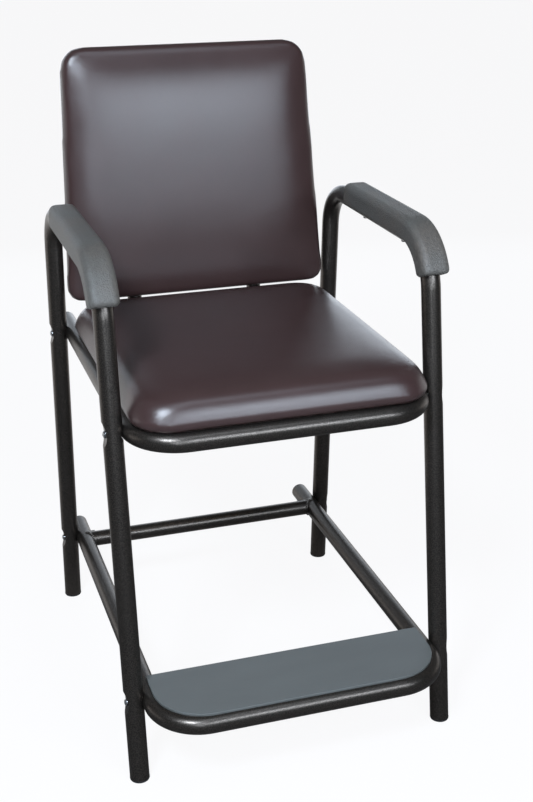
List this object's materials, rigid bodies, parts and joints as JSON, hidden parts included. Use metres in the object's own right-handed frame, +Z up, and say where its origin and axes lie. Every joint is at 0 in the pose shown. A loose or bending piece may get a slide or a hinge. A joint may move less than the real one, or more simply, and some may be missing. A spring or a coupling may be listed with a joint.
{
  "type": "high hip chair",
  "caption": "High chair for people who must not bend the hip far: bent tube frame, padded seat and back, moulded arm pads and a foot plate across the front.",
  "frame": {"origin": "on the floor, under the middle of the bounding box", "axes": "+Z up, front of the chair towards -Y, +X to the right for someone who looks at the front"},
  "size_m": [0.545, 0.714, 1.0171],
  "materials": {
    "frame_paint": "satin metallic bronze-brown powder coat",
    "foot_plate": "satin slate",
    "board": "raw plywood",
    "foam": "cut foam",
    "vinyl": "soft sheen, fine grain, very dark brown",
    "arm_pad": "moulded, fine pebbled charcoal",
    "black_plastic": "moulded black",
    "zinc": "zinc plated"
  },
  "bodies": {
    "root": {"right_side_tube": "frame_paint", "left_side_tube": "frame_paint", "seat_frame_tube": "frame_paint", "foot_frame_tube": "frame_paint", "seat_frame_crossbar": "frame_paint", "foot_frame_crossbar": "frame_paint", "right_back_post": "frame_paint", "left_back_post": "frame_paint", "frame_welds": "frame_paint", "plate_tabs": "frame_paint", "seat_tabs": "frame_paint", "foot_plate": "foot_plate", "seat_board": "board", "back_board": "board", "seat_foam": "foam", "back_foam": "foam", "seat_cover": "vinyl", "back_cover": "vinyl", "back_rear_panel": "vinyl", "right_arm_pad": "arm_pad", "left_arm_pad": "arm_pad", "right_front_glide": "black_plastic", "left_front_glide": "black_plastic", "right_rear_glide": "black_plastic", "left_rear_glide": "black_plastic", "seat_frame_plugs": "black_plastic", "foot_frame_plugs": "black_plastic", "back_post_plugs": "black_plastic", "seat_frame_bolts": "zinc", "seat_frame_nuts": "zinc", "foot_frame_bolts": "zinc", "foot_frame_nuts": "zinc", "seat_screws": "zinc", "seat_tee_nuts": "zinc", "foot_plate_screws": "zinc", "back_screws": "zinc", "back_tee_nuts": "zinc", "arm_pad_screws": "zinc"}
  },
  "joints": []
}
